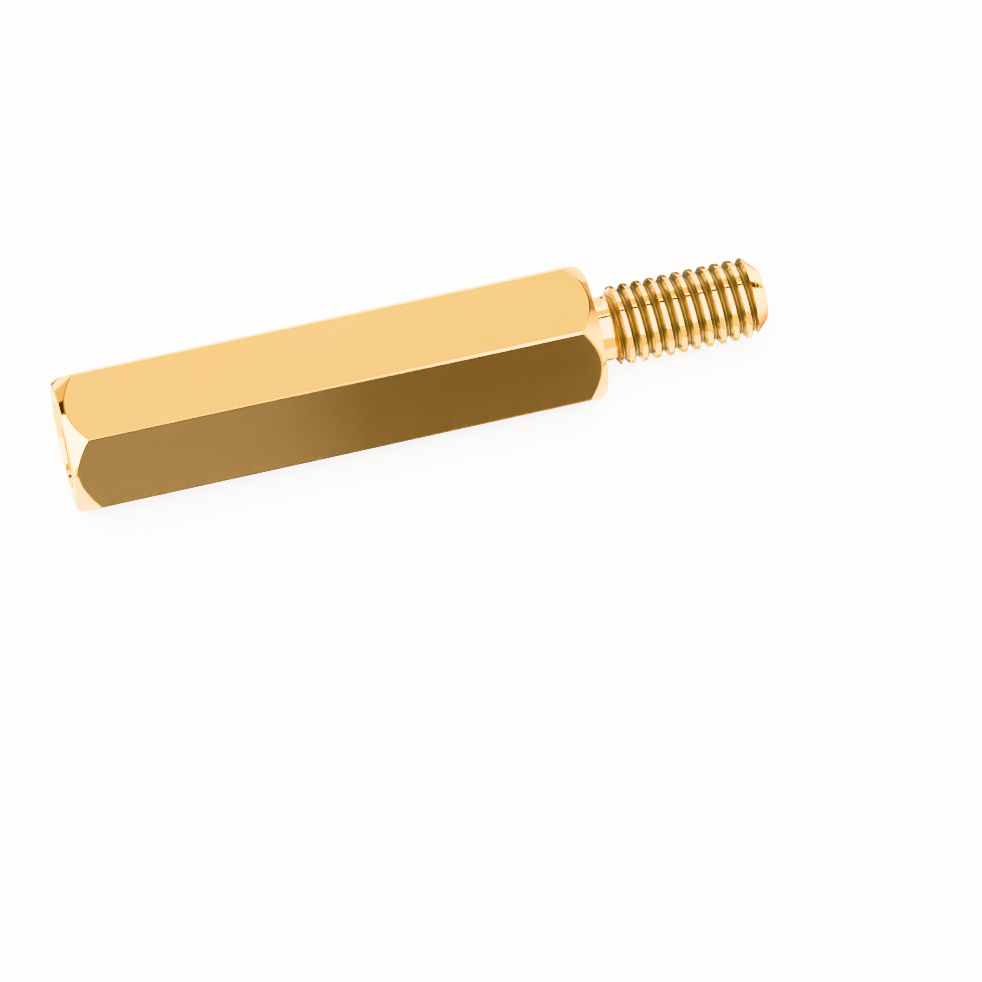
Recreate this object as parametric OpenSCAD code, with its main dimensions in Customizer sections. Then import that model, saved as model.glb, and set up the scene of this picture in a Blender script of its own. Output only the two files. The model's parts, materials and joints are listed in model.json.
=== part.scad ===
// Hex standoff turned from brass hexagon bar, with a male thread at one end
// and a tapped blind hole at the other. It lies on one flat, along X, with
// the stud towards +X. The origin is under its middle, on the surface.
// Both fine threads are plain here: the stud has its major diameter and the
// hole has its minor diameter.

/* [Hexagonal body] */
// Width across two opposite flats
across_flats = 5; // [4.6:0.1:8]
// Length of the body, from the end face to the shoulder
body_length = 20; // [14:0.5:60]
// Rounding of the six long ridges of the drawn bar
ridge_radius = 0.12; // [0.02:0.01:0.3]

/* [End chamfers] */
// How far each flat end face stops short of the flats
face_inset = 0.13; // [0.05:0.01:0.2]
// Angle between the chamfer and the axis
chamfer_angle = 34; // [25:1:60]

/* [Male stud] */
// Major diameter of the male thread
stud_d = 3; // [2:0.1:4]
// Length of the stud, from the shoulder to its tip
stud_length = 6.5; // [4:0.1:12]
// Length of the plain neck between the shoulder and the thread
neck_length = 0.65; // [0.2:0.05:1.2]
// Depth of the neck below the crests of the thread
neck_depth = 0.3; // [0.05:0.05:0.5]
// Length of the slope from the neck up to the crests
run_out = 0.2; // [0.05:0.05:0.5]
// Length of the bevel at the tip
tip_bevel = 0.55; // [0.1:0.05:0.8]
// Depth of that bevel below the crests, at the tip's flat
tip_depth = 0.55; // [0.1:0.05:0.6]

/* [Tapped hole] */
// Diameter of the hole, at the crests of its thread
hole_d = 2.5; // [1.6:0.05:3.2]
// Depth of the hole's straight wall below the end face
hole_depth = 10; // [4:0.5:12]
// Depth and width of the 45 degree countersink at the mouth
countersink = 0.35; // [0.05:0.05:0.45]
// Full angle of the drill's point at the bottom of the hole
drill_point_angle = 118; // [90:1:140]

/* [Hidden] */

// Facets of a full circle in the preview
$fn = 96;

flat_r = across_flats / 2;
stud_r = stud_d / 2;
hole_r = hole_d / 2;
overall_length = body_length + stud_length;

// The bar's section: how far a ridge's centre lies from the axis, and how
// wide each flat is between its two ridges
ridge_centre_r = (flat_r - ridge_radius) / cos(30);
flat_width = ridge_centre_r;

// Chamfers: radius of the end face, and how far the cone runs along the
// body to get past the ridges
face_r = flat_r - face_inset;
past_ridges = 0.5;
bar_r = flat_r / cos(30) + past_ridges;
chamfer_length = (bar_r - face_r) / tan(chamfer_angle);

// Depth of the cone that the drill's point leaves
drill_point = hole_r / tan(drill_point_angle / 2);

// How far a cut or a join runs past the face where it starts
overrun = 0.5;

// Section of the drawn bar: three strips from flat to flat, which leave a
// notch at each ridge, and a round in each notch
module bar_section() {
    for (turn = [0:60:120]) {
        rotate(turn)
        square([across_flats, flat_width], center = true);
    }
    for (turn = [30:60:330]) {
        rotate(turn)
        translate([ridge_centre_r, 0])
        circle(r = ridge_radius);
    }
}

// What the lathe leaves of the bar: a cylinder with a cone at each end
module chamfer_envelope() {
    rotate_extrude()
    polygon([
        [0, 0],
        [face_r, 0],
        [bar_r, chamfer_length],
        [bar_r, body_length - chamfer_length],
        [face_r, body_length],
        [0, body_length]
    ]);
}

module hex_body() {
    intersection() {
        linear_extrude(height = body_length)
        bar_section();
        chamfer_envelope();
    }
}

// Neck, thread and bevelled tip, turned in one pass
module male_stud() {
    translate([0, 0, body_length])
    rotate_extrude()
    polygon([
        [0, -overrun],
        [stud_r - neck_depth, -overrun],
        [stud_r - neck_depth, neck_length],
        [stud_r, neck_length + run_out],
        [stud_r, stud_length - tip_bevel],
        [stud_r - tip_depth, stud_length],
        [0, stud_length]
    ]);
}

// Countersink, straight wall and drill point. The countersink's slope
// goes on past the end face, so that the cut leaves a clean edge.
module tapped_hole() {
    rotate_extrude()
    polygon([
        [0, -overrun],
        [hole_r + countersink + overrun, -overrun],
        [hole_r, countersink],
        [hole_r, hole_depth],
        [0, hole_depth + drill_point]
    ]);
}

// Lays the turned part on one flat, with its middle over the origin
module lay_down() {
    translate([-overall_length / 2, 0, flat_r])
    rotate([0, 90, 0])
    children();
}

module standoff() {
    color([0.85, 0.66, 0.34])
    lay_down()
    difference() {
        union() {
            hex_body();
            male_stud();
        }
        tapped_hole();
    }
}

standoff();
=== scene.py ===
"""Hex standoff: a brass spacer with a male thread at one end and a tapped
hole at the other, and the stage it is shown on.

It is modelled in millimetres, as it is made: a drawn hexagon bar is turned
at both ends, its stud is threaded and its hole is drilled and tapped. Its
axis lies along X, with the stud towards +X, and one flat is on the floor.
"""
import json
from math import atan2, cos, hypot, pi, radians, sin, tan, tau
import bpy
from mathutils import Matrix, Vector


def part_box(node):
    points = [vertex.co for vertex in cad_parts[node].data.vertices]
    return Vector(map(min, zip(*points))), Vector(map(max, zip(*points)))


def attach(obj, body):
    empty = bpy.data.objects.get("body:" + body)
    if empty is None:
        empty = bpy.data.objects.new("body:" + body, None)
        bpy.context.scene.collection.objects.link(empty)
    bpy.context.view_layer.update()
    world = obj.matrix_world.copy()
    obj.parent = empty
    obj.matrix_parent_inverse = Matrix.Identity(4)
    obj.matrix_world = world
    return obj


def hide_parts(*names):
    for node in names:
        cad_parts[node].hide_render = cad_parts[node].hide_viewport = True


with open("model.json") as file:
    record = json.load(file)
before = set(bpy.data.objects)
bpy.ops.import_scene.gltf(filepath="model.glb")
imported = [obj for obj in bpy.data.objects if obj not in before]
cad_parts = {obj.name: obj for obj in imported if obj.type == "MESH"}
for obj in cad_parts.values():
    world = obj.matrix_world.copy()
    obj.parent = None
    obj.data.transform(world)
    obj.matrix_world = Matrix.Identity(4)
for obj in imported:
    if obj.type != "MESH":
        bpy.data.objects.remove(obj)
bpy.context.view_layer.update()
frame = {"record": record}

from types import SimpleNamespace

import bmesh
import bpy
from bpy.props import FloatProperty, FloatVectorProperty, PointerProperty
from bpy.types import Operator, Panel, PropertyGroup
from mathutils import Vector

bl_info = {
    "name": "Hex standoff",
    "version": (1, 0, 0),
    "blender": (4, 5, 0),
    "location": "3D View > Sidebar > Standoff",
    "description": "Models a brass hex standoff with real threads, on a stage",
    "category": "Add Mesh",
}

NODE = "standoff"
MILLI = 0.001

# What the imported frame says: the box of the part, where its shoulder is and
# how wide its threads are
LOW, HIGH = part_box(NODE)
MOUNTS = {mount["name"]: mount for mount in frame["record"]["mounts"]}
SHOULDER = MOUNTS["shoulder"]["pos_m"][0]
THREAD_RADIUS = MOUNTS["male_thread"]["dims"]["r_mm"] * MILLI
HOLE_RADIUS = MOUNTS["female_thread"]["dims"]["r_mm"] * MILLI


def linear(code):
    """Linear RGB of an sRGB hex colour."""
    parts = [int(code[k:k + 2], 16) / 255 for k in (1, 3, 5)]
    return tuple(
        part / 12.92 if part <= 0.04045 else ((part + 0.055) / 1.055) ** 2.4
        for part in parts
    )


def length(name, description, millimetres):
    return FloatProperty(name=name, description=description,
                         default=millimetres * MILLI, min=0, unit="LENGTH",
                         precision=5)


def angle(name, description, degrees):
    return FloatProperty(name=name, description=description,
                         default=radians(degrees), subtype="ANGLE",
                         unit="ROTATION")


def colour(name, description, code):
    return FloatVectorProperty(name=name, description=description,
                               default=linear(code), min=0, max=1,
                               subtype="COLOR")


def amount(name, description, value, **limits):
    return FloatProperty(name=name, description=description, default=value,
                         **limits)


class StandoffSizes(PropertyGroup):
    """Sizes of the standoff. The main ones start as the frame has them."""

    across_flats: length(
        "Across flats", "Width across two opposite flats",
        (HIGH.z - LOW.z) / MILLI)
    body_length: length(
        "Body length", "From the end face to the shoulder",
        (SHOULDER - LOW.x) / MILLI)
    ridge_radius: length(
        "Ridge radius", "Rounding of the six long ridges", 0.12)
    face_inset: length(
        "Face inset", "How far each end face stops short of the flats", 0.13)
    chamfer_angle: angle(
        "Chamfer angle", "Angle between the chamfers and the axis", 34)
    edge_break: length(
        "Edge break", "Width of the broken edges at both ends", 0.05)

    stud_length: length(
        "Stud length", "From the shoulder to the tip",
        (HIGH.x - SHOULDER) / MILLI)
    thread_radius: length(
        "Thread radius", "Radius over the crests of the male thread",
        THREAD_RADIUS / MILLI)
    pitch: length("Pitch", "Pitch of both threads", 0.5)
    first_crest: length(
        "First crest", "From the shoulder to the thread's first crest", 1.033)
    thread_depth: length(
        "Thread depth", "Depth of the male thread's grooves", 0.24)
    neck_length: length(
        "Neck length", "Plain neck between the shoulder and the thread", 0.65)
    neck_depth: length("Neck depth", "Depth of the neck below the crests", 0.3)
    run_out: length(
        "Run-out", "Length of the slope from the neck to the crests", 0.2)
    tip_bevel: length("Tip bevel", "Length of the bevel at the tip", 0.55)
    tip_depth: length(
        "Tip depth", "Depth of that bevel at the tip's flat", 0.55)
    tip_round: length("Tip round", "Rounding between bevel and flat", 0.25)

    hole_radius: length(
        "Hole radius", "Radius of the hole at its thread's crests",
        HOLE_RADIUS / MILLI)
    hole_depth: length(
        "Hole depth", "Depth of the hole's straight wall", 10)
    tapped_depth: length(
        "Tapped depth", "How deep the female thread goes", 8)
    countersink: length(
        "Countersink", "Depth and width of the countersink", 0.35)
    point_angle: angle(
        "Point angle", "Full angle of the drill's point", 118)


class StandoffFinish(PropertyGroup):
    """Colour and shine of the brass."""

    brass: colour("Brass", "Colour of the brass", "#F7D08C")
    deep_brass: colour(
        "Deep brass", "Colour of the slightly redder patches", "#F3C881")
    # Painted shade: these two colours darken the flanks and roots of both
    # threads, where the grooves lie in shade
    shaded_flank: colour("Flank", "Colour of the threads' duller flanks", "#BEA87C")
    flank_roughness: amount(
        "Flank roughness", "Roughness of the threads' flanks", 0.2,
        min=0, max=1)
    # Painted shade, darkest, at the threads' roots
    root: colour("Root", "Colour of the threads' dark roots", "#86704A")
    root_roughness: amount(
        "Root roughness", "Roughness of the threads' roots", 0.4,
        min=0, max=1)
    drawn_roughness: amount(
        "Drawn roughness", "Roughness of the drawn flats", 0.14,
        min=0, max=1)
    turned_roughness: amount(
        "Turned roughness", "Roughness of the turned faces and threads",
        0.08, min=0, max=1)


class StandoffStage(PropertyGroup):
    """Floor, lights and camera."""

    floor: colour("Floor", "Colour of the floor", "#F4F3F0")
    floor_glow: amount(
        "Floor glow", "Light through the floor, as on a light table", 1.0)
    key_power: amount("Key power", "Power of the key light, in watts", 20.0)
    camera_turn: angle(
        "Camera turn", "How far the camera stands round the part", -14.29)
    camera_rise: angle(
        "Camera rise", "How far the camera looks down", 60.03)
    camera_distance: length(
        "Camera distance", "From the camera to what it looks at", 246.99)
    aim: FloatVectorProperty(
        name="Aim", description="Point that the camera looks at",
        default=(0.001442, -0.005693, 0.0025), unit="LENGTH",
        subtype="TRANSLATION", precision=5)
    lens: amount("Lens", "Focal length, in millimetres", 248.4)


def part_sizes(group):
    """The sizes, with lengths in millimetres and places along X."""
    size = SimpleNamespace()
    for name, prop in group.bl_rna.properties.items():
        if prop.type == "FLOAT":
            value = getattr(group, name)
            setattr(size, name,
                    value / MILLI if prop.unit == "LENGTH" else value)
    size.high = (size.body_length + size.stud_length) / 2
    size.low = -size.high
    size.shoulder = size.low + size.body_length
    size.axis_height = size.across_flats / 2
    return size


# Shaping, as by hand

def deselect_all():
    if bpy.context.object and bpy.context.object.mode != "OBJECT":
        bpy.ops.object.mode_set(mode="OBJECT")
    bpy.ops.object.select_all(action="DESELECT")


def work_on(obj):
    deselect_all()
    obj.select_set(True)
    bpy.context.view_layer.objects.active = obj


def select_in(obj, kind, wanted):
    """Opens obj in edit mode with only its wanted parts selected."""
    if obj.mode != "EDIT":
        work_on(obj)
        bpy.ops.object.mode_set(mode="EDIT")
    bpy.ops.mesh.select_mode(type=kind)
    bpy.ops.mesh.select_all(action="DESELECT")
    mesh = bmesh.from_edit_mesh(obj.data)
    parts = {"VERT": mesh.verts, "EDGE": mesh.edges, "FACE": mesh.faces}
    for part in parts[kind]:
        if wanted(part):
            part.select_set(True)
    mesh.select_flush_mode()
    bmesh.update_edit_mesh(obj.data)


def apply_modifier(obj, kind, name, **settings):
    work_on(obj)
    modifier = obj.modifiers.new(name, kind)
    for key, value in settings.items():
        setattr(modifier, key, value)
    bpy.ops.object.modifier_apply(modifier=name)


def combine(obj, tool, operation):
    """Cuts obj by tool, joins them or keeps what they share."""
    apply_modifier(obj, "BOOLEAN", operation.title(), operation=operation,
                   object=tool, solver="EXACT")
    bpy.data.objects.remove(tool)


def rounded(corners, steps):
    """Points of an outline. Each corner is (x, radius, rounding)."""
    points = []
    for k, (x, r, rounding) in enumerate(corners):
        corner = Vector((x, r))
        if not rounding:
            points.append(corner)
            continue
        back = (Vector(corners[k - 1][:2]) - corner).normalized()
        on = (Vector(corners[k + 1][:2]) - corner).normalized()
        half = back.angle(on) / 2
        centre = corner + (back + on).normalized() * rounding / sin(half)
        first = corner + back * rounding / tan(half) - centre
        last = corner + on * rounding / tan(half) - centre
        sweep = atan2(first.x * last.y - first.y * last.x, first.dot(last))
        for step in range(steps + 1):
            c, s = cos(sweep * step / steps), sin(sweep * step / steps)
            points.append(centre + Vector((first.x * c - first.y * s,
                                           first.x * s + first.y * c)))
    return points


def draw_outline(name, corners, steps):
    """A chain of edges in the XZ plane, from a plane shrunk to a point."""
    points = rounded(corners, steps)
    deselect_all()
    bpy.ops.mesh.primitive_plane_add(
        size=1, location=(points[0].x, 0, points[0].y))
    obj = bpy.context.object
    obj.name = name
    bpy.ops.object.transform_apply()
    bpy.ops.object.mode_set(mode="EDIT")
    bpy.ops.mesh.select_mode(type="VERT")
    bpy.ops.mesh.merge(type="CENTER")
    for here, there in zip(points, points[1:]):
        step = (there.x - here.x, 0, there.y - here.y)
        bpy.ops.mesh.extrude_vertices_move(
            TRANSFORM_OT_translate={"value": step})
    bpy.ops.mesh.select_all(action="SELECT")
    return obj


def turn(name, corners, steps):
    """A closed solid of revolution about X, half a step off the thread's
    lines so that no two edges meet when they are combined."""
    obj = draw_outline(name, corners, TURNED_STEPS)
    bpy.ops.transform.rotate(value=-pi / steps, orient_axis="X",
                             center_override=(0, 0, 0))
    bpy.ops.mesh.spin(steps=steps, angle=tau, center=(0, 0, 0),
                      axis=(1, 0, 0))
    bpy.ops.mesh.select_all(action="SELECT")
    bpy.ops.mesh.remove_doubles(threshold=MERGE)
    bpy.ops.mesh.normals_make_consistent(inside=False)
    bpy.ops.object.mode_set(mode="OBJECT")
    return obj


def screw(name, corners, start, pitch, turns, steps):
    """A closed right-handed helical solid about X. The corners draw one
    pitch, from valley to valley, and start is where its middle begins."""
    corners = [(x + start, r, rounding) for x, r, rounding in corners]
    obj = draw_outline(name, corners, SCREW_STEPS)
    apply_modifier(obj, "SCREW", "Helix", axis="X", angle=tau,
                   screw_offset=pitch, iterations=turns, steps=steps,
                   render_steps=steps)
    bpy.ops.object.mode_set(mode="EDIT")
    bpy.ops.mesh.select_all(action="SELECT")
    bpy.ops.mesh.remove_doubles(threshold=MERGE)
    for end in (start, start + turns * pitch):
        select_in(obj, "EDGE", lambda edge: edge.is_boundary and all(
            abs(vert.co.x - end) < pitch for vert in edge.verts))
        bpy.ops.mesh.extrude_edges_move()
        bpy.ops.transform.resize(value=(0, 0, 0),
                                 center_override=(end, 0, 0))
        bpy.ops.mesh.merge(type="CENTER")
    bpy.ops.mesh.select_all(action="SELECT")
    bpy.ops.mesh.normals_make_consistent(inside=False)
    bpy.ops.object.mode_set(mode="OBJECT")
    return obj


# The standoff, in millimetres, with its axis on X

# Points closer than this are one
MERGE = 1e-4
# Facets of a full turn: of the chamfers, and of the threads and the stud.
# With more of the first, a ridge's lines would meet two facets of a cone.
BODY_STEPS = 72
THREAD_STEPS = 96
# Faces across a ridge, a broken edge, and a rounding of a turned piece and
# of a thread
RIDGE_STEPS = 6
BREAK_STEPS = 3
TURNED_STEPS = 4
SCREW_STEPS = 3
# How far a tool reaches past the bar
CLEAR = 0.5
# Edges that turn more than the first are broken, and edges that turn less
# than the second are shaded as one surface
SHARP = radians(20)
SMOOTH = radians(31)
# Least area, in square millimetres, of a face that keeps its own normal
WIDE = 1
# How near, in metres, the finished part has to end to its own length
CLOSE = 1e-5

# Half the angle of a thread's grooves
FLANK = radians(30)
# Half the width of the male thread's crests, and how its crests and roots
# are rounded. The crests are wider and the grooves shallower than the
# standard profile's, so that they show.
HALF_CREST = 0.09
CREST_ROUND = 0.05
ROOT_ROUND = 0.03
# Turns of the helix before its first crest, which the tool cuts away
LEAD_TURNS = 4
# How far the stud runs into the body, and how far the tool that cuts its
# neck, run-out and bevel starts outside the crests
STUD_INSIDE = 0.35
TOOL_OUTSIDE = 0.1
NECK_ROUND = 0.1

# The tap's crests are an eighth of its pitch wide. Its valleys lie this far
# inside the drilled wall, and it and the drill start outside the end face.
TAP_UNDER = 0.012
TAP_ROUND = 0.04
TAP_OUTSIDE = 0.6
DRILL_OUTSIDE = 0.3


def model_body(size):
    """Hexagon bar, turned at both ends to a cone and a flat face."""
    flat = size.across_flats / 2
    corner = flat / cos(pi / 6)
    deselect_all()
    bpy.ops.mesh.primitive_cylinder_add(
        vertices=6, radius=corner, depth=size.body_length + 2 * CLEAR,
        location=((size.low + size.shoulder) / 2, 0, 0),
        rotation=(0, pi / 2, 0))
    body = bpy.context.object
    body.name = "standoff_body"
    bpy.ops.object.transform_apply()

    select_in(body, "EDGE",
              lambda edge: edge.calc_length() > size.body_length)
    bpy.ops.mesh.bevel(offset=size.ridge_radius * tan(pi / 6),
                       segments=RIDGE_STEPS, affect="EDGES")
    bpy.ops.object.mode_set(mode="OBJECT")

    face = flat - size.face_inset
    outside = corner + CLEAR
    cone = (outside - face) / tan(size.chamfer_angle)
    combine(body, turn("chamfers", [
        (size.low, 0, 0),
        (size.low, face, 0),
        (size.low + cone, outside, 0),
        (size.shoulder - cone, outside, 0),
        (size.shoulder, face, 0),
        (size.shoulder, 0, 0),
    ], BODY_STEPS), "INTERSECT")
    return body


def break_edges(body, size):
    """Breaks the edges of both chamfers. Each ridge's lines meet only one
    facet of the cones, so the new edges slide along them."""
    rim = size.across_flats / 2 - 2 * size.face_inset

    def sharp_end(edge):
        return (all(vert.co.yz.length > rim for vert in edge.verts)
                and edge.calc_length() < rim
                and edge.calc_face_angle() > SHARP)

    select_in(body, "EDGE", sharp_end)
    bpy.ops.mesh.bevel(offset=size.edge_break, segments=BREAK_STEPS,
                       affect="EDGES", clamp_overlap=False)
    bpy.ops.object.mode_set(mode="OBJECT")


def model_stud(size):
    """Threaded stud. A lathe tool's neck, run-out and bevel cut the helix."""
    crest = size.thread_radius
    root = crest - size.thread_depth
    valley = HALF_CREST + size.thread_depth * tan(FLANK)
    start = size.shoulder + size.first_crest - LEAD_TURNS * size.pitch
    turns = round((size.high - start) / size.pitch) + 1
    stud = screw("thread", [
        (-size.pitch / 2, root, 0),
        (-valley, root, ROOT_ROUND),
        (-HALF_CREST, crest, CREST_ROUND),
        (HALF_CREST, crest, CREST_ROUND),
        (valley, root, ROOT_ROUND),
        (size.pitch / 2, root, 0),
    ], start, size.pitch, turns, THREAD_STEPS)

    neck = crest - size.neck_depth
    outside = crest + TOOL_OUTSIDE
    slope = size.run_out / size.neck_depth * (size.neck_depth + TOOL_OUTSIDE)
    bevel = size.tip_bevel / size.tip_depth * (size.tip_depth + TOOL_OUTSIDE)
    inside = size.shoulder - STUD_INSIDE
    neck_end = size.shoulder + size.neck_length
    combine(stud, turn("neck_and_tip", [
        (inside, 0, 0),
        (inside, neck, 0),
        (neck_end, neck, NECK_ROUND),
        (neck_end + slope, outside, 0),
        (size.high - bevel, outside, 0),
        (size.high, crest - size.tip_depth, size.tip_round),
        (size.high, 0, 0),
    ], THREAD_STEPS), "INTERSECT")
    return stud


def model_hole(size):
    """What the drill, the countersink and the tap take away."""
    major = size.thread_radius
    minor = size.hole_radius
    half_crest = size.pitch / 16
    valley = half_crest + (major - minor) * tan(FLANK)
    under = minor - TAP_UNDER
    start = size.low - TAP_OUTSIDE
    turns = round((size.tapped_depth + TAP_OUTSIDE) / size.pitch)
    hole = screw("tap", [
        (-size.pitch / 2, under, 0),
        (-valley, under, ROOT_ROUND),
        (-half_crest, major, TAP_ROUND),
        (half_crest, major, TAP_ROUND),
        (valley, under, ROOT_ROUND),
        (size.pitch / 2, under, 0),
    ], start, size.pitch, turns, THREAD_STEPS)

    bottom = size.low + size.hole_depth
    outside = size.low - DRILL_OUTSIDE
    combine(hole, turn("drill", [
        (outside, 0, 0),
        (outside, minor + size.countersink + DRILL_OUTSIDE, 0),
        (size.low + size.countersink, minor, 0),
        (bottom, minor, 0),
        (bottom + minor / tan(size.point_angle / 2), 0, 0),
    ], THREAD_STEPS), "UNION")
    return hole


def model_standoff(size):
    """The whole part in metres, lying on one flat."""
    body = model_body(size)
    combine(body, model_stud(size), "UNION")
    combine(body, model_hole(size), "DIFFERENCE")
    select_in(body, "VERT", lambda vert: True)
    bpy.ops.mesh.remove_doubles(threshold=MERGE)
    break_edges(body, size)
    bpy.ops.object.shade_smooth_by_angle(angle=SMOOTH)
    apply_modifier(body, "WEIGHTED_NORMAL", "Weighted normals",
                   keep_sharp=True, weight=50)
    # The flats and end faces then keep their own normal up to their edges
    wide = body.vertex_groups.new(name="Wide faces")
    wide.add([k for face in body.data.polygons
              if face.area > WIDE for k in face.vertices], 1, "ADD")
    apply_modifier(body, "WEIGHTED_NORMAL", "Flat normals",
                   keep_sharp=True, weight=100, thresh=0,
                   vertex_group=wide.name)
    # Made triangles while it is in millimetres, because in metres its
    # finest faces would fold
    apply_modifier(body, "TRIANGULATE", "Triangles",
                   keep_custom_normals=True)
    bpy.ops.object.mode_set(mode="EDIT")
    bpy.ops.mesh.select_all(action="SELECT")
    bpy.ops.transform.translate(value=(0, 0, size.axis_height))
    bpy.ops.transform.resize(value=(MILLI,) * 3, center_override=(0, 0, 0))
    bpy.ops.object.mode_set(mode="OBJECT")
    check_closed(body, size.high * MILLI)
    return body


def check_closed(obj, high):
    """Stops if obj isn't one closed solid that ends at high, along X."""
    mesh = bmesh.new()
    mesh.from_mesh(obj.data)
    loose = sum(not edge.is_manifold for edge in mesh.edges)
    volume = mesh.calc_volume(signed=True)
    mesh.free()
    if loose or volume <= 0:
        raise RuntimeError(
            f"{obj.name} isn't a closed solid: {loose} bad edges, {volume}")
    long = max(corner[0] for corner in obj.bound_box)
    if abs(long - high) > CLOSE:
        raise RuntimeError(f"{obj.name} ends at {long}, not at {high}")


# Materials

# The alloy's tone wanders a little, in patches of about 3 mm
TONE_SCALE = 0.35
# Share of the roughness that the valleys and tops of tool marks have
LOW_SHINE, HIGH_SHINE = 0.9, 1.15
# Depth of the marks of the drawing die and of the lathe tool, and how wide
# they are, all in millimetres. Real lines are 0.01 to 0.03 mm wide and a
# real feed is 0.03 to 0.05 mm a turn. These are wider, so that they show.
DRAWN_DEPTH, DRAWN_WIDTH, DRAWN_LENGTH = 0.001, 0.1, 12
TURNED_DEPTH, TURNED_WIDTH = 0.0015, 0.08
# How high above a thread's roots its flanks are painted with shade, and how
# far its unpainted, bright crests reach down
FLANK_RISE = 0.14
CREST_REACH = 0.01
# How far inside the flats a face still counts as drawn, and how much it may
# lean along the axis
DRAWN_MARGIN = 0.02
DRAWN_LEAN = 0.2
# How far inside the tip's bevel a face still belongs to it, and how much of
# the tip has no thread
BEVEL_MARGIN = 0.03
BARE_TIP = 0.2


def add_node(tree, kind, inputs=None, **settings):
    """Adds a node with its settings, its values and its links."""
    node = tree.nodes.new(kind)
    for key, value in settings.items():
        setattr(node, key, value)
    for key, value in (inputs or {}).items():
        if isinstance(value, bpy.types.NodeSocket):
            tree.links.new(value, node.inputs[key])
        else:
            node.inputs[key].default_value = value
    return node


def new_tree(owner):
    owner.use_nodes = True
    owner.node_tree.nodes.clear()
    return owner.node_tree


def axis_point(tree, height):
    """Object coordinates in millimetres, measured from the part's axis."""
    place = add_node(tree, "ShaderNodeTexCoord").outputs["Object"]
    return add_node(tree, "ShaderNodeMapping", {
        "Vector": place,
        "Location": (0, 0, -height),
        "Scale": (1 / MILLI,) * 3,
    }).outputs["Vector"]


def brass(name, finish, roughness, height, marks, mark_size, groove_shade=None):
    """Free-cutting brass, bright and unlacquered, so it mirrors what is
    round it in warm yellow. marks makes the height of its tool marks, from
    0 to 1, which draw the reflections out a little, and mark_size is how
    deep they are. Its last argument holds three radii of shade painted into a
    thread's grooves: where the painted shade of its roots is full, where the
    painted shade of its flanks is full, and where its unpainted crests begin."""
    material = bpy.data.materials.new(name)
    tree = new_tree(material)
    point = axis_point(tree, height)
    heights = marks(tree, point)
    tone = add_node(tree, "ShaderNodeTexNoise", {
        "Vector": point, "Scale": TONE_SCALE, "Detail": 2.0,
    }).outputs["Fac"]
    base = add_node(tree, "ShaderNodeMix", {
        "Factor": tone,
        6: (*finish.brass, 1),
        7: (*finish.deep_brass, 1),
    }, data_type="RGBA").outputs[2]
    shine = add_node(tree, "ShaderNodeMapRange", {
        "Value": heights,
        "To Min": roughness * LOW_SHINE,
        "To Max": roughness * HIGH_SHINE,
    }).outputs["Result"]
    # Painted shade: a thread's flanks and roots are darkened in colour by
    # their distance from the axis, and made rougher
    if groove_shade:
        root, shaded_flank, crest = groove_shade
        radius = axis_distance(tree, point)
        for colour, dullness, full_shade, no_shade in (
                (finish.shaded_flank, finish.flank_roughness, shaded_flank, crest),
                (finish.root, finish.root_roughness, root, shaded_flank)):
            share = add_node(tree, "ShaderNodeMapRange", {
                "Value": radius, "From Min": no_shade, "From Max": full_shade,
            }, interpolation_type="SMOOTHSTEP").outputs["Result"]
            base = add_node(tree, "ShaderNodeMix", {
                "Factor": share, 6: base, 7: (*colour, 1),
            }, data_type="RGBA").outputs[2]
            shine = add_node(tree, "ShaderNodeMix", {
                "Factor": share, 2: shine, 3: dullness}).outputs[0]
    bump = add_node(tree, "ShaderNodeBump", {
        "Height": heights, "Strength": 1.0, "Distance": mark_size * MILLI,
    }).outputs["Normal"]
    surface = add_node(tree, "ShaderNodeBsdfPrincipled", {
        "Base Color": base, "Metallic": 1.0, "Roughness": shine,
        "Normal": bump,
    }).outputs["BSDF"]
    add_node(tree, "ShaderNodeOutputMaterial", {"Surface": surface})
    return material


def axis_distance(tree, point):
    """How far a point is from the part's axis."""
    across = add_node(tree, "ShaderNodeVectorMath", {
        0: point, 1: (0, 1, 1)}, operation="MULTIPLY").outputs["Vector"]
    return add_node(tree, "ShaderNodeVectorMath", {0: across},
                    operation="LENGTH").outputs["Value"]


def drawing_lines(tree, point):
    """Fine lines along the bar, left by the drawing die."""
    stretched = add_node(tree, "ShaderNodeMapping", {
        "Vector": point,
        "Scale": (1 / DRAWN_LENGTH, 1 / DRAWN_WIDTH, 1 / DRAWN_WIDTH),
    }).outputs["Vector"]
    return add_node(tree, "ShaderNodeTexNoise", {
        "Vector": stretched, "Scale": 1.0, "Detail": 3.0,
        "Roughness": 0.6,
    }).outputs["Fac"]


def turning_rings(tree, point):
    """Rings about the axis, left by the lathe tool's feed."""
    x = add_node(tree, "ShaderNodeSeparateXYZ",
                 {"Vector": point}).outputs["X"]
    along = add_node(tree, "ShaderNodeMath", {0: x},
                     operation="ABSOLUTE").outputs["Value"]
    travel = add_node(tree, "ShaderNodeMath", {
        0: axis_distance(tree, point), 1: along,
    }, operation="SUBTRACT").outputs["Value"]
    return add_node(tree, "ShaderNodeTexNoise", {
        "W": travel, "Scale": 1 / TURNED_WIDTH, "Detail": 2.0,
    }, noise_dimensions="1D").outputs["Fac"]


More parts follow.
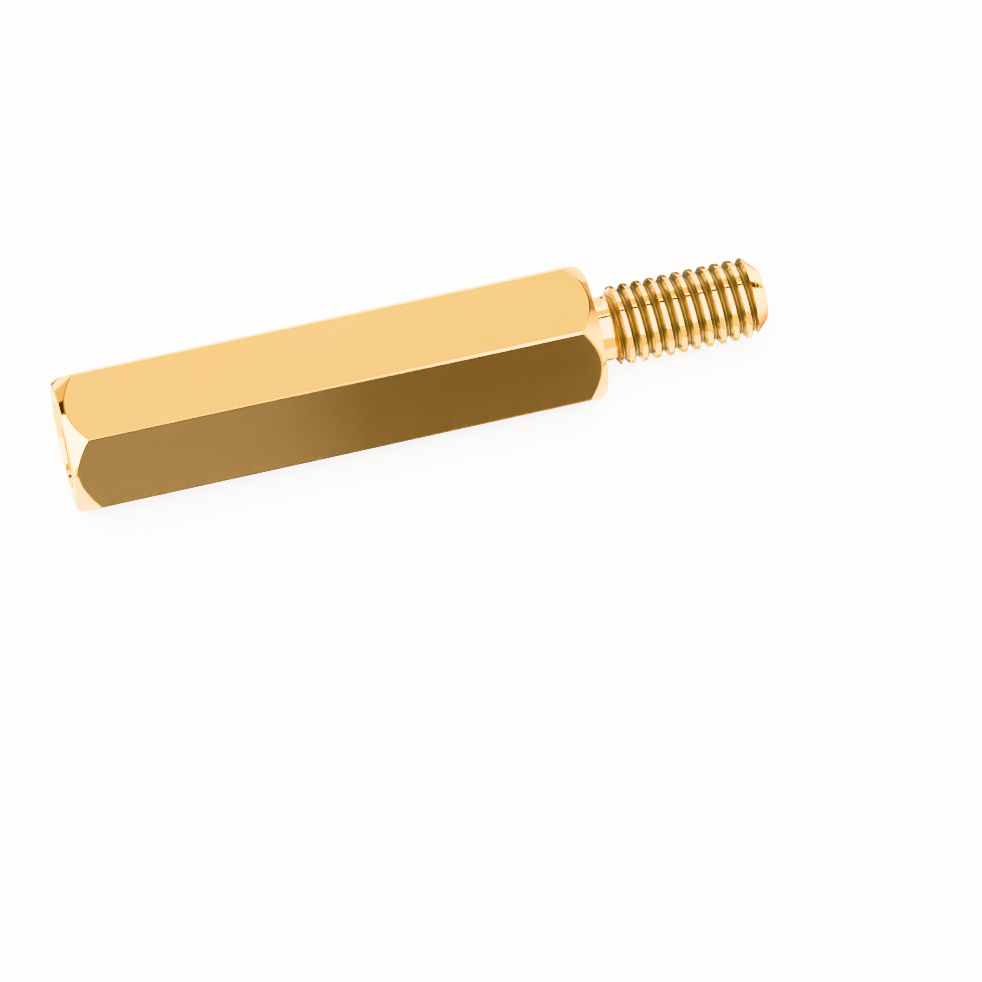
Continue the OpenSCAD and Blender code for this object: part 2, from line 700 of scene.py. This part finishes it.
def brass_of(face, size):
    """Which brass a face has: 0 drawn, 1 turned, 2 threaded or 3 tapped."""
    x = face.center.x / MILLI
    radius = hypot(face.center.y / MILLI,
                   face.center.z / MILLI - size.axis_height)
    past_bevel = x - (size.high - size.tip_bevel)
    bevel_radius = (size.thread_radius
                    - past_bevel / size.tip_bevel * size.tip_depth)
    if past_bevel > 0 and (radius > bevel_radius - BEVEL_MARGIN
                           or x > size.high - BARE_TIP):
        return 1
    if x > size.shoulder + size.neck_length:
        return 2
    if (radius < size.thread_radius and size.low + size.countersink < x
            < size.low + size.hole_depth + size.hole_radius):
        return 3
    if (radius > size.across_flats / 2 - DRAWN_MARGIN
            and abs(face.normal.x) < DRAWN_LEAN):
        return 0
    return 1


def finish_standoff(body, size, finish):
    """Gives the flats drawn brass and the rest turned brass, paints shade into
    the threads' grooves, and hangs the piece on the frame's root body in place
    of the imported part."""
    crest, root = size.thread_radius, size.thread_radius - size.thread_depth
    minor = size.hole_radius
    for name, roughness, marks, depth, groove_shade in (
            ("Drawn brass", finish.drawn_roughness, drawing_lines,
             DRAWN_DEPTH, None),
            ("Turned brass", finish.turned_roughness, turning_rings,
             TURNED_DEPTH, None),
            # The threaded and tapped brass have shade painted into their
            # threads' grooves, darkest at the roots
            ("Threaded brass", finish.turned_roughness, turning_rings,
             TURNED_DEPTH, (root, root + FLANK_RISE, crest - CREST_REACH)),
            ("Tapped brass", finish.turned_roughness, turning_rings,
             TURNED_DEPTH, (minor + 3 * CREST_REACH, minor + CREST_REACH,
                            minor - CREST_REACH))):
        body.data.materials.append(brass(
            name, finish, roughness, size.axis_height, marks, depth,
            groove_shade))
    for face in body.data.polygons:
        face.material_index = brass_of(face, size)

    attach(body, "root")
    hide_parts(NODE)


class MESH_OT_hex_standoff(Operator):
    """Model the standoff, with both threads, and finish it in brass"""

    bl_idname = "mesh.hex_standoff"
    bl_label = "Hex standoff"
    bl_options = {"REGISTER", "UNDO"}

    def execute(self, context):
        size = part_sizes(context.scene.standoff_sizes)
        body = model_standoff(size)
        finish_standoff(body, size, context.scene.standoff_finish)
        return {"FINISHED"}


# The stage

# Turns that lay a new plane across X, Y and Z
LAID_ACROSS = ((0, pi / 2, 0), (pi / 2, 0, 0), (0, 0, 0))


def card(name, low, high, glow):
    """A flat card that is seen only in reflections, from one corner to the
    other, in millimetres. glow makes its emission in its own tree."""
    sides = [end - start for start, end in zip(low, high)]
    deselect_all()
    bpy.ops.mesh.primitive_plane_add(
        size=MILLI, rotation=LAID_ACROSS[sides.index(0)])
    obj = bpy.context.object
    obj.name = name
    bpy.ops.object.transform_apply()
    bpy.ops.object.mode_set(mode="EDIT")
    bpy.ops.mesh.select_all(action="SELECT")
    bpy.ops.transform.resize(value=[side or 1 for side in sides],
                             center_override=(0, 0, 0))
    bpy.ops.transform.translate(
        value=(Vector(low) + Vector(high)) / 2 * MILLI)
    bpy.ops.object.mode_set(mode="OBJECT")
    for hidden in ("visible_camera", "visible_diffuse", "visible_shadow",
                   "visible_transmission"):
        setattr(obj, hidden, False)
    material = bpy.data.materials.new(name)
    tree = new_tree(material)
    add_node(tree, "ShaderNodeOutputMaterial", {"Surface": glow(tree)})
    obj.data.materials.append(material)


def plain_glow(code, strength):
    """One colour all over."""
    def glow(tree):
        return add_node(tree, "ShaderNodeEmission", {
            "Color": (*linear(code), 1), "Strength": strength,
        }).outputs["Emission"]
    return glow


def set_stops(points, stops):
    """Gives a colour ramp's points their places, from 0 to 1, and colours."""
    while len(points) < len(stops):
        points.new(0.5)
    for point, (place, code) in zip(points, stops):
        point.position = place
        point.color = (*linear(code), 1)


def glow_along(axis, strength, stops):
    """Colours at places along an axis, in millimetres, and blends between
    them."""
    def glow(tree):
        place = add_node(tree, "ShaderNodeTexCoord").outputs["Object"]
        along = add_node(tree, "ShaderNodeSeparateXYZ",
                         {"Vector": place}).outputs[axis]
        first, last = stops[0][0], stops[-1][0]
        share = add_node(tree, "ShaderNodeMapRange", {
            "Value": along, "From Min": first * MILLI,
            "From Max": last * MILLI,
        }).outputs["Result"]
        ramp = add_node(tree, "ShaderNodeValToRGB", {"Fac": share})
        set_stops(ramp.color_ramp.elements, [
            ((place - first) / (last - first), code)
            for place, code in stops])
        return add_node(tree, "ShaderNodeEmission", {
            "Color": ramp.outputs["Color"], "Strength": strength,
        }).outputs["Emission"]
    return glow


# The studio's light by how steeply it falls, from level to straight down,
# and the brightness of the white backdrop
SKY = ((0.0, "#E8DCCC"), (0.25, "#F2ECE2"), (0.6, "#FFFFFF"),
       (1.0, "#FFFFFF"))
BACKDROP = 4.0
# The floor's size, and how far it lies under the part, in metres
FLOOR_SIZE = 4
FLOOR_DROP = 0.00001
# The key light's place and size in metres, and its lean
KEY_PLACE = (-0.1, -0.1, 0.6)
KEY_SIZE = 0.5
KEY_LEAN = radians(-10)
# Nearest and farthest that the camera sees, in metres
CAMERA_REACH = (0.01, 20)

# Cards of one colour: low corner, high corner, colour and brightness. The
# white ones stand for a ceiling, the others for warm things round the part.
CARDS = {
    "overhead": ((-120, -250, 200), (29, 240, 200), "#FFFAEE", 2.2),
    "over_stud": ((29, -250, 200), (125, 240, 200), "#FFFFFF", 14),
    "front_panel": ((-120, -250, 80), (33, -250, 200), "#FFFAEE", 2.2),
    "front_of_thread": ((33, -250, 80), (125, -250, 200), "#FFFFFF", 14),
    "back_panel": ((-45, 240, 45), (125, 240, 200), "#FFFFFF", 8),
    "ceiling_gap": ((-45, 18, 199), (125, 48, 199), "#6B5138", 0.5),
    "front_flag": ((-60, -60, 14), (10.5, -60, 85), "#9A8466", 0.6),
    "left_card": ((-24, -9, 0.5), (-24, 5, 5), "#DCEEFF", 16),
    "left_card_top": ((-24, -9, 5), (-24, 5.5, 14), "#DCEEFF", 24),
    "left_gap": ((-24, 5.5, 3), (-24, 12, 14), "#7A4A20", 0.5),
    "left_wall": ((-24, 12, 0), (-24, 26, 9), "#F2E2C0", 1.2),
    "left_back_floor": ((-20, 3, 0.05), (-14.3, 9, 0.05), "#7A4A20", 0.7),
    "left_front_floor": ((-34, -30, 0.05), (-16, -11, 0.05), "#6B4A2C", 0.6),
    "right_front_floor": ((10, -24, 0.05), (24, -12, 0.05), "#A08868", 0.8),
    "right_flag": ((60, -90, 8), (60, 14, 110), "#ECE2CC", 2.4),
    "right_flag_back": ((60, 14, 8), (60, 90, 110), "#9A7C58", 0.8),
    "left_flag": ((-60, -90, 8), (-60, 8, 140), "#ECE2CC", 2.2),
    "left_flag_back": ((-60, 8, 8), (-60, 200, 140), "#C8AA82", 1.2),
    "by_end": ((-14.3, -2, 0.05), (-13.3, 6, 0.05), "#FAFFEC", 1.5),
    "under_stud": ((8.2, -2.2, 0.05), (12.4, 1.5, 0.05), "#FFF2CC", 1.2),
    "near_stud": ((7.42, 1.5, 0.05), (12.3, 4, 0.05), "#FFF6D8", 0.6),
    "behind_stud": ((7.42, 4, 0.05), (26, 30, 0.05), "#FFF6D8", 0.5),
    "under_neck": ((6.95, -1.5, 0.06), (7.6, 0.5, 0.06), "#D0A468", 1),
    "right_wall_low": ((29.9, -5, 0), (29.9, 20, 4), "#FAFFF4", 10),
    "tip_shade": ((29.8, 3.4, 0.9), (29.8, 7.2, 4), "#6A3A28", 0.6),
    "back_low": ((14.5, 60, 0), (22, 60, 13), "#FFF6E8", 3),
    "front_of_stud": ((7.7, -8, 0.4), (14, -8, 6), "#FFFBE0", 1.5),
    "behind_neck": ((7.35, 1.6, 0), (7.35, 9, 4.8), "#FFFFFF", 3),
    "behind_thread": ((7.37, 1.6, 0), (7.37, 9, 4.8), "#C0A480", 0.5),
}
# What the two front cards share: browns at places along X
BROWNS = ((-8, "#AFABAC"), (-2, "#ACA8A8"), (2, "#867F7A"), (6, "#847A76"))
# Cards whose colour changes: low corner, high corner, the axis it changes
# along, brightness, and the colours at places along that axis
BLENDED_CARDS = {
    "top_card": ((-30, 45, 150), (75, 120, 150), "X", 1.42, (
        (5, "#FFFDF5"), (20, "#FFFDF5"), (30, "#F2F0E0"))),
    "by_front": ((-13, -12, 0.06), (7.2, -2.6, 0.06), "X", 1, (
        (-13, "#AAA6A8"), (-2, "#8A8482"), (1, "#B8A88C"),
        (7, "#E4D8C0"))),
    "front_card": ((-80, -40, 0.2), (80, -40, 14), "X", 1, BROWNS),
    "front_floor": ((-60, -40, 0.1), (60, -12, 0.1), "X", 1, BROWNS),
    "right_wall": ((30, -14, 0), (30, 34, 16), "Y", 6, (
        (-9, "#FAFFF0"), (-4, "#FAFCE8"), (-1, "#BCB4A0"), (3, "#9A8C7C"),
        (6, "#5B4E44"), (11, "#5B4E44"), (16, "#75665A"))),
    "right_floor": ((13.6, -9, 0.07), (30, 12, 0.07), "X", 8, (
        (14.4, "#54462E"), (16.4, "#A09274"), (18, "#F0ECD8"),
        (21, "#FAFFF0"))),
}


class SCENE_OT_standoff_stage(Operator):
    """Lay the floor, light it and place the camera"""

    bl_idname = "scene.standoff_stage"
    bl_label = "Stage"
    bl_options = {"REGISTER", "UNDO"}

    def execute(self, context):
        stage = context.scene.standoff_stage
        self.lay_floor(stage)
        self.fill_sky(context.scene)
        self.hang_key(stage)
        self.place_cards()
        self.place_camera(context.scene, stage)
        context.scene.view_settings.view_transform = "Khronos PBR Neutral"
        context.scene.cycles.caustics_reflective = False
        return {"FINISHED"}

    def lay_floor(self, stage):
        deselect_all()
        bpy.ops.mesh.primitive_plane_add(size=FLOOR_SIZE,
                                         location=(0, 0, -FLOOR_DROP))
        floor = bpy.context.object
        floor.name = "floor"
        material = bpy.data.materials.new("Matt white card")
        tree = new_tree(material)
        card_light = add_node(tree, "ShaderNodeBsdfDiffuse", {
            "Color": (*stage.floor, 1)}).outputs["BSDF"]
        from_below = add_node(tree, "ShaderNodeEmission", {
            "Color": (1, 1, 1, 1), "Strength": stage.floor_glow,
        }).outputs["Emission"]
        surface = add_node(tree, "ShaderNodeAddShader", {
            0: card_light, 1: from_below}).outputs["Shader"]
        add_node(tree, "ShaderNodeOutputMaterial", {"Surface": surface})
        floor.data.materials.append(material)

    def fill_sky(self, scene):
        world = bpy.data.worlds.new("Studio")
        scene.world = world
        tree = new_tree(world)
        direction = add_node(tree, "ShaderNodeTexCoord").outputs["Generated"]
        rise = add_node(tree, "ShaderNodeSeparateXYZ",
                        {"Vector": direction}).outputs["Z"]
        ramp = add_node(tree, "ShaderNodeValToRGB", {"Fac": rise})
        set_stops(ramp.color_ramp.elements, SKY)
        studio = add_node(tree, "ShaderNodeBackground", {
            "Color": ramp.outputs["Color"]}).outputs["Background"]
        behind = add_node(tree, "ShaderNodeBackground", {
            "Color": (1, 1, 1, 1), "Strength": BACKDROP,
        }).outputs["Background"]
        seen = add_node(tree, "ShaderNodeLightPath").outputs["Is Camera Ray"]
        mixed = add_node(tree, "ShaderNodeMixShader", {
            0: seen, 1: studio, 2: behind}).outputs["Shader"]
        add_node(tree, "ShaderNodeOutputWorld", {"Surface": mixed})

    def hang_key(self, stage):
        deselect_all()
        bpy.ops.object.light_add(type="AREA", location=KEY_PLACE)
        key = bpy.context.object
        key.name = "key"
        key.data.size = KEY_SIZE
        key.data.energy = stage.key_power
        key.rotation_euler = (KEY_LEAN, KEY_LEAN, 0)
        key.visible_glossy = False

    def place_cards(self):
        for name, (low, high, code, strength) in CARDS.items():
            card(name, low, high, plain_glow(code, strength))
        for name, (low, high, *colours) in BLENDED_CARDS.items():
            card(name, low, high, glow_along(*colours))

    def place_camera(self, scene, stage):
        a, e = stage.camera_turn, stage.camera_rise
        back = Vector((sin(a) * cos(e), -cos(a) * cos(e), sin(e)))
        deselect_all()
        bpy.ops.object.camera_add(
            location=Vector(stage.aim) + back * stage.camera_distance)
        camera = bpy.context.object
        camera.name = "camera"
        camera.rotation_mode = "QUATERNION"
        camera.rotation_quaternion = (-back).to_track_quat("-Z", "Y")
        camera.data.lens = stage.lens
        camera.data.clip_start, camera.data.clip_end = CAMERA_REACH
        scene.camera = camera


class VIEW3D_PT_standoff(Panel):
    """Sizes, finish and stage, and the buttons that make them"""

    bl_label = "Hex standoff"
    bl_space_type = "VIEW_3D"
    bl_region_type = "UI"
    bl_category = "Standoff"

    def draw(self, context):
        for group, operator in (("standoff_sizes", None),
                                ("standoff_finish", MESH_OT_hex_standoff),
                                ("standoff_stage", SCENE_OT_standoff_stage)):
            settings = getattr(context.scene, group)
            column = self.layout.column(align=True)
            for name in settings.__annotations__:
                column.prop(settings, name)
            if operator:
                self.layout.operator(operator.bl_idname)


GROUPS = {
    "standoff_sizes": StandoffSizes,
    "standoff_finish": StandoffFinish,
    "standoff_stage": StandoffStage,
}
CLASSES = (*GROUPS.values(), MESH_OT_hex_standoff, SCENE_OT_standoff_stage,
           VIEW3D_PT_standoff)


def register():
    for cls in CLASSES:
        bpy.utils.register_class(cls)
    for name, group in GROUPS.items():
        setattr(bpy.types.Scene, name, PointerProperty(type=group))


def unregister():
    for name in GROUPS:
        delattr(bpy.types.Scene, name)
    for cls in reversed(CLASSES):
        bpy.utils.unregister_class(cls)


def main():
    register()
    bpy.ops.mesh.hex_standoff()
    bpy.ops.scene.standoff_stage()


if __name__ == "__main__":
    main()
